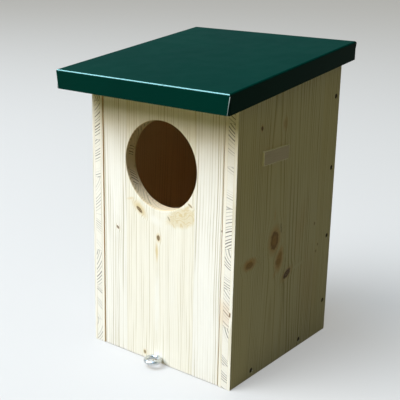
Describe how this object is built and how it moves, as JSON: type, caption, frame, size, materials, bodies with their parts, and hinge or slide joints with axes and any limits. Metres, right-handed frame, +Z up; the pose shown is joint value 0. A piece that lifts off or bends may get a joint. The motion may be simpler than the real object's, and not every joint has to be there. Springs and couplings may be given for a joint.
{
  "type": "owl nest box",
  "caption": "Wooden nest box with a large round entrance, a pent roof under a folded metal sheet, and a front panel that swings up from its top pivots.",
  "frame": {"origin": "middle of the footprint, on the underside of the floor board", "axes": "+Z up, -Y out of the front, +X to the right seen from the front"},
  "size_m": [0.288, 0.307, 0.4491],
  "materials": {
    "board": "planed, untreated three-ply spruce",
    "sheet": "smooth green coating, satin gloss",
    "plate": "thin bare plate",
    "zinc": "zinc plated wire",
    "screw": "dull plated screws"
  },
  "bodies": {
    "box": {"left_side": "board", "right_side": "board", "back_panel": "board", "floor_board": "board", "roof_board": "board", "roof_sheet": "sheet", "label_plate": "plate", "pivot_screw_left": "screw", "pivot_screw_right": "screw", "back_screw_left_1": "screw", "back_screw_left_2": "screw", "back_screw_left_3": "screw", "back_screw_left_4": "screw", "back_screw_right_1": "screw", "back_screw_right_2": "screw", "back_screw_right_3": "screw", "back_screw_right_4": "screw", "floor_screw_left_1": "screw", "floor_screw_left_2": "screw", "floor_screw_right_1": "screw", "floor_screw_right_2": "screw"},
    "front": {"front_panel": "board"},
    "eye": {"eye_screw": "zinc"}
  },
  "joints": [
    {"name": "front_swing", "type": "hinge", "parent": "box", "child": "front", "pos_m": [0, -0.1175, 0.38616], "axis": [-1, 0, 0], "range_deg": [0, 70]},
    {"name": "eye_screw_draw", "type": "slide", "parent": "front", "child": "eye", "axis": [0, -1, 0], "range_m": [0, 0.022]}
  ]
}
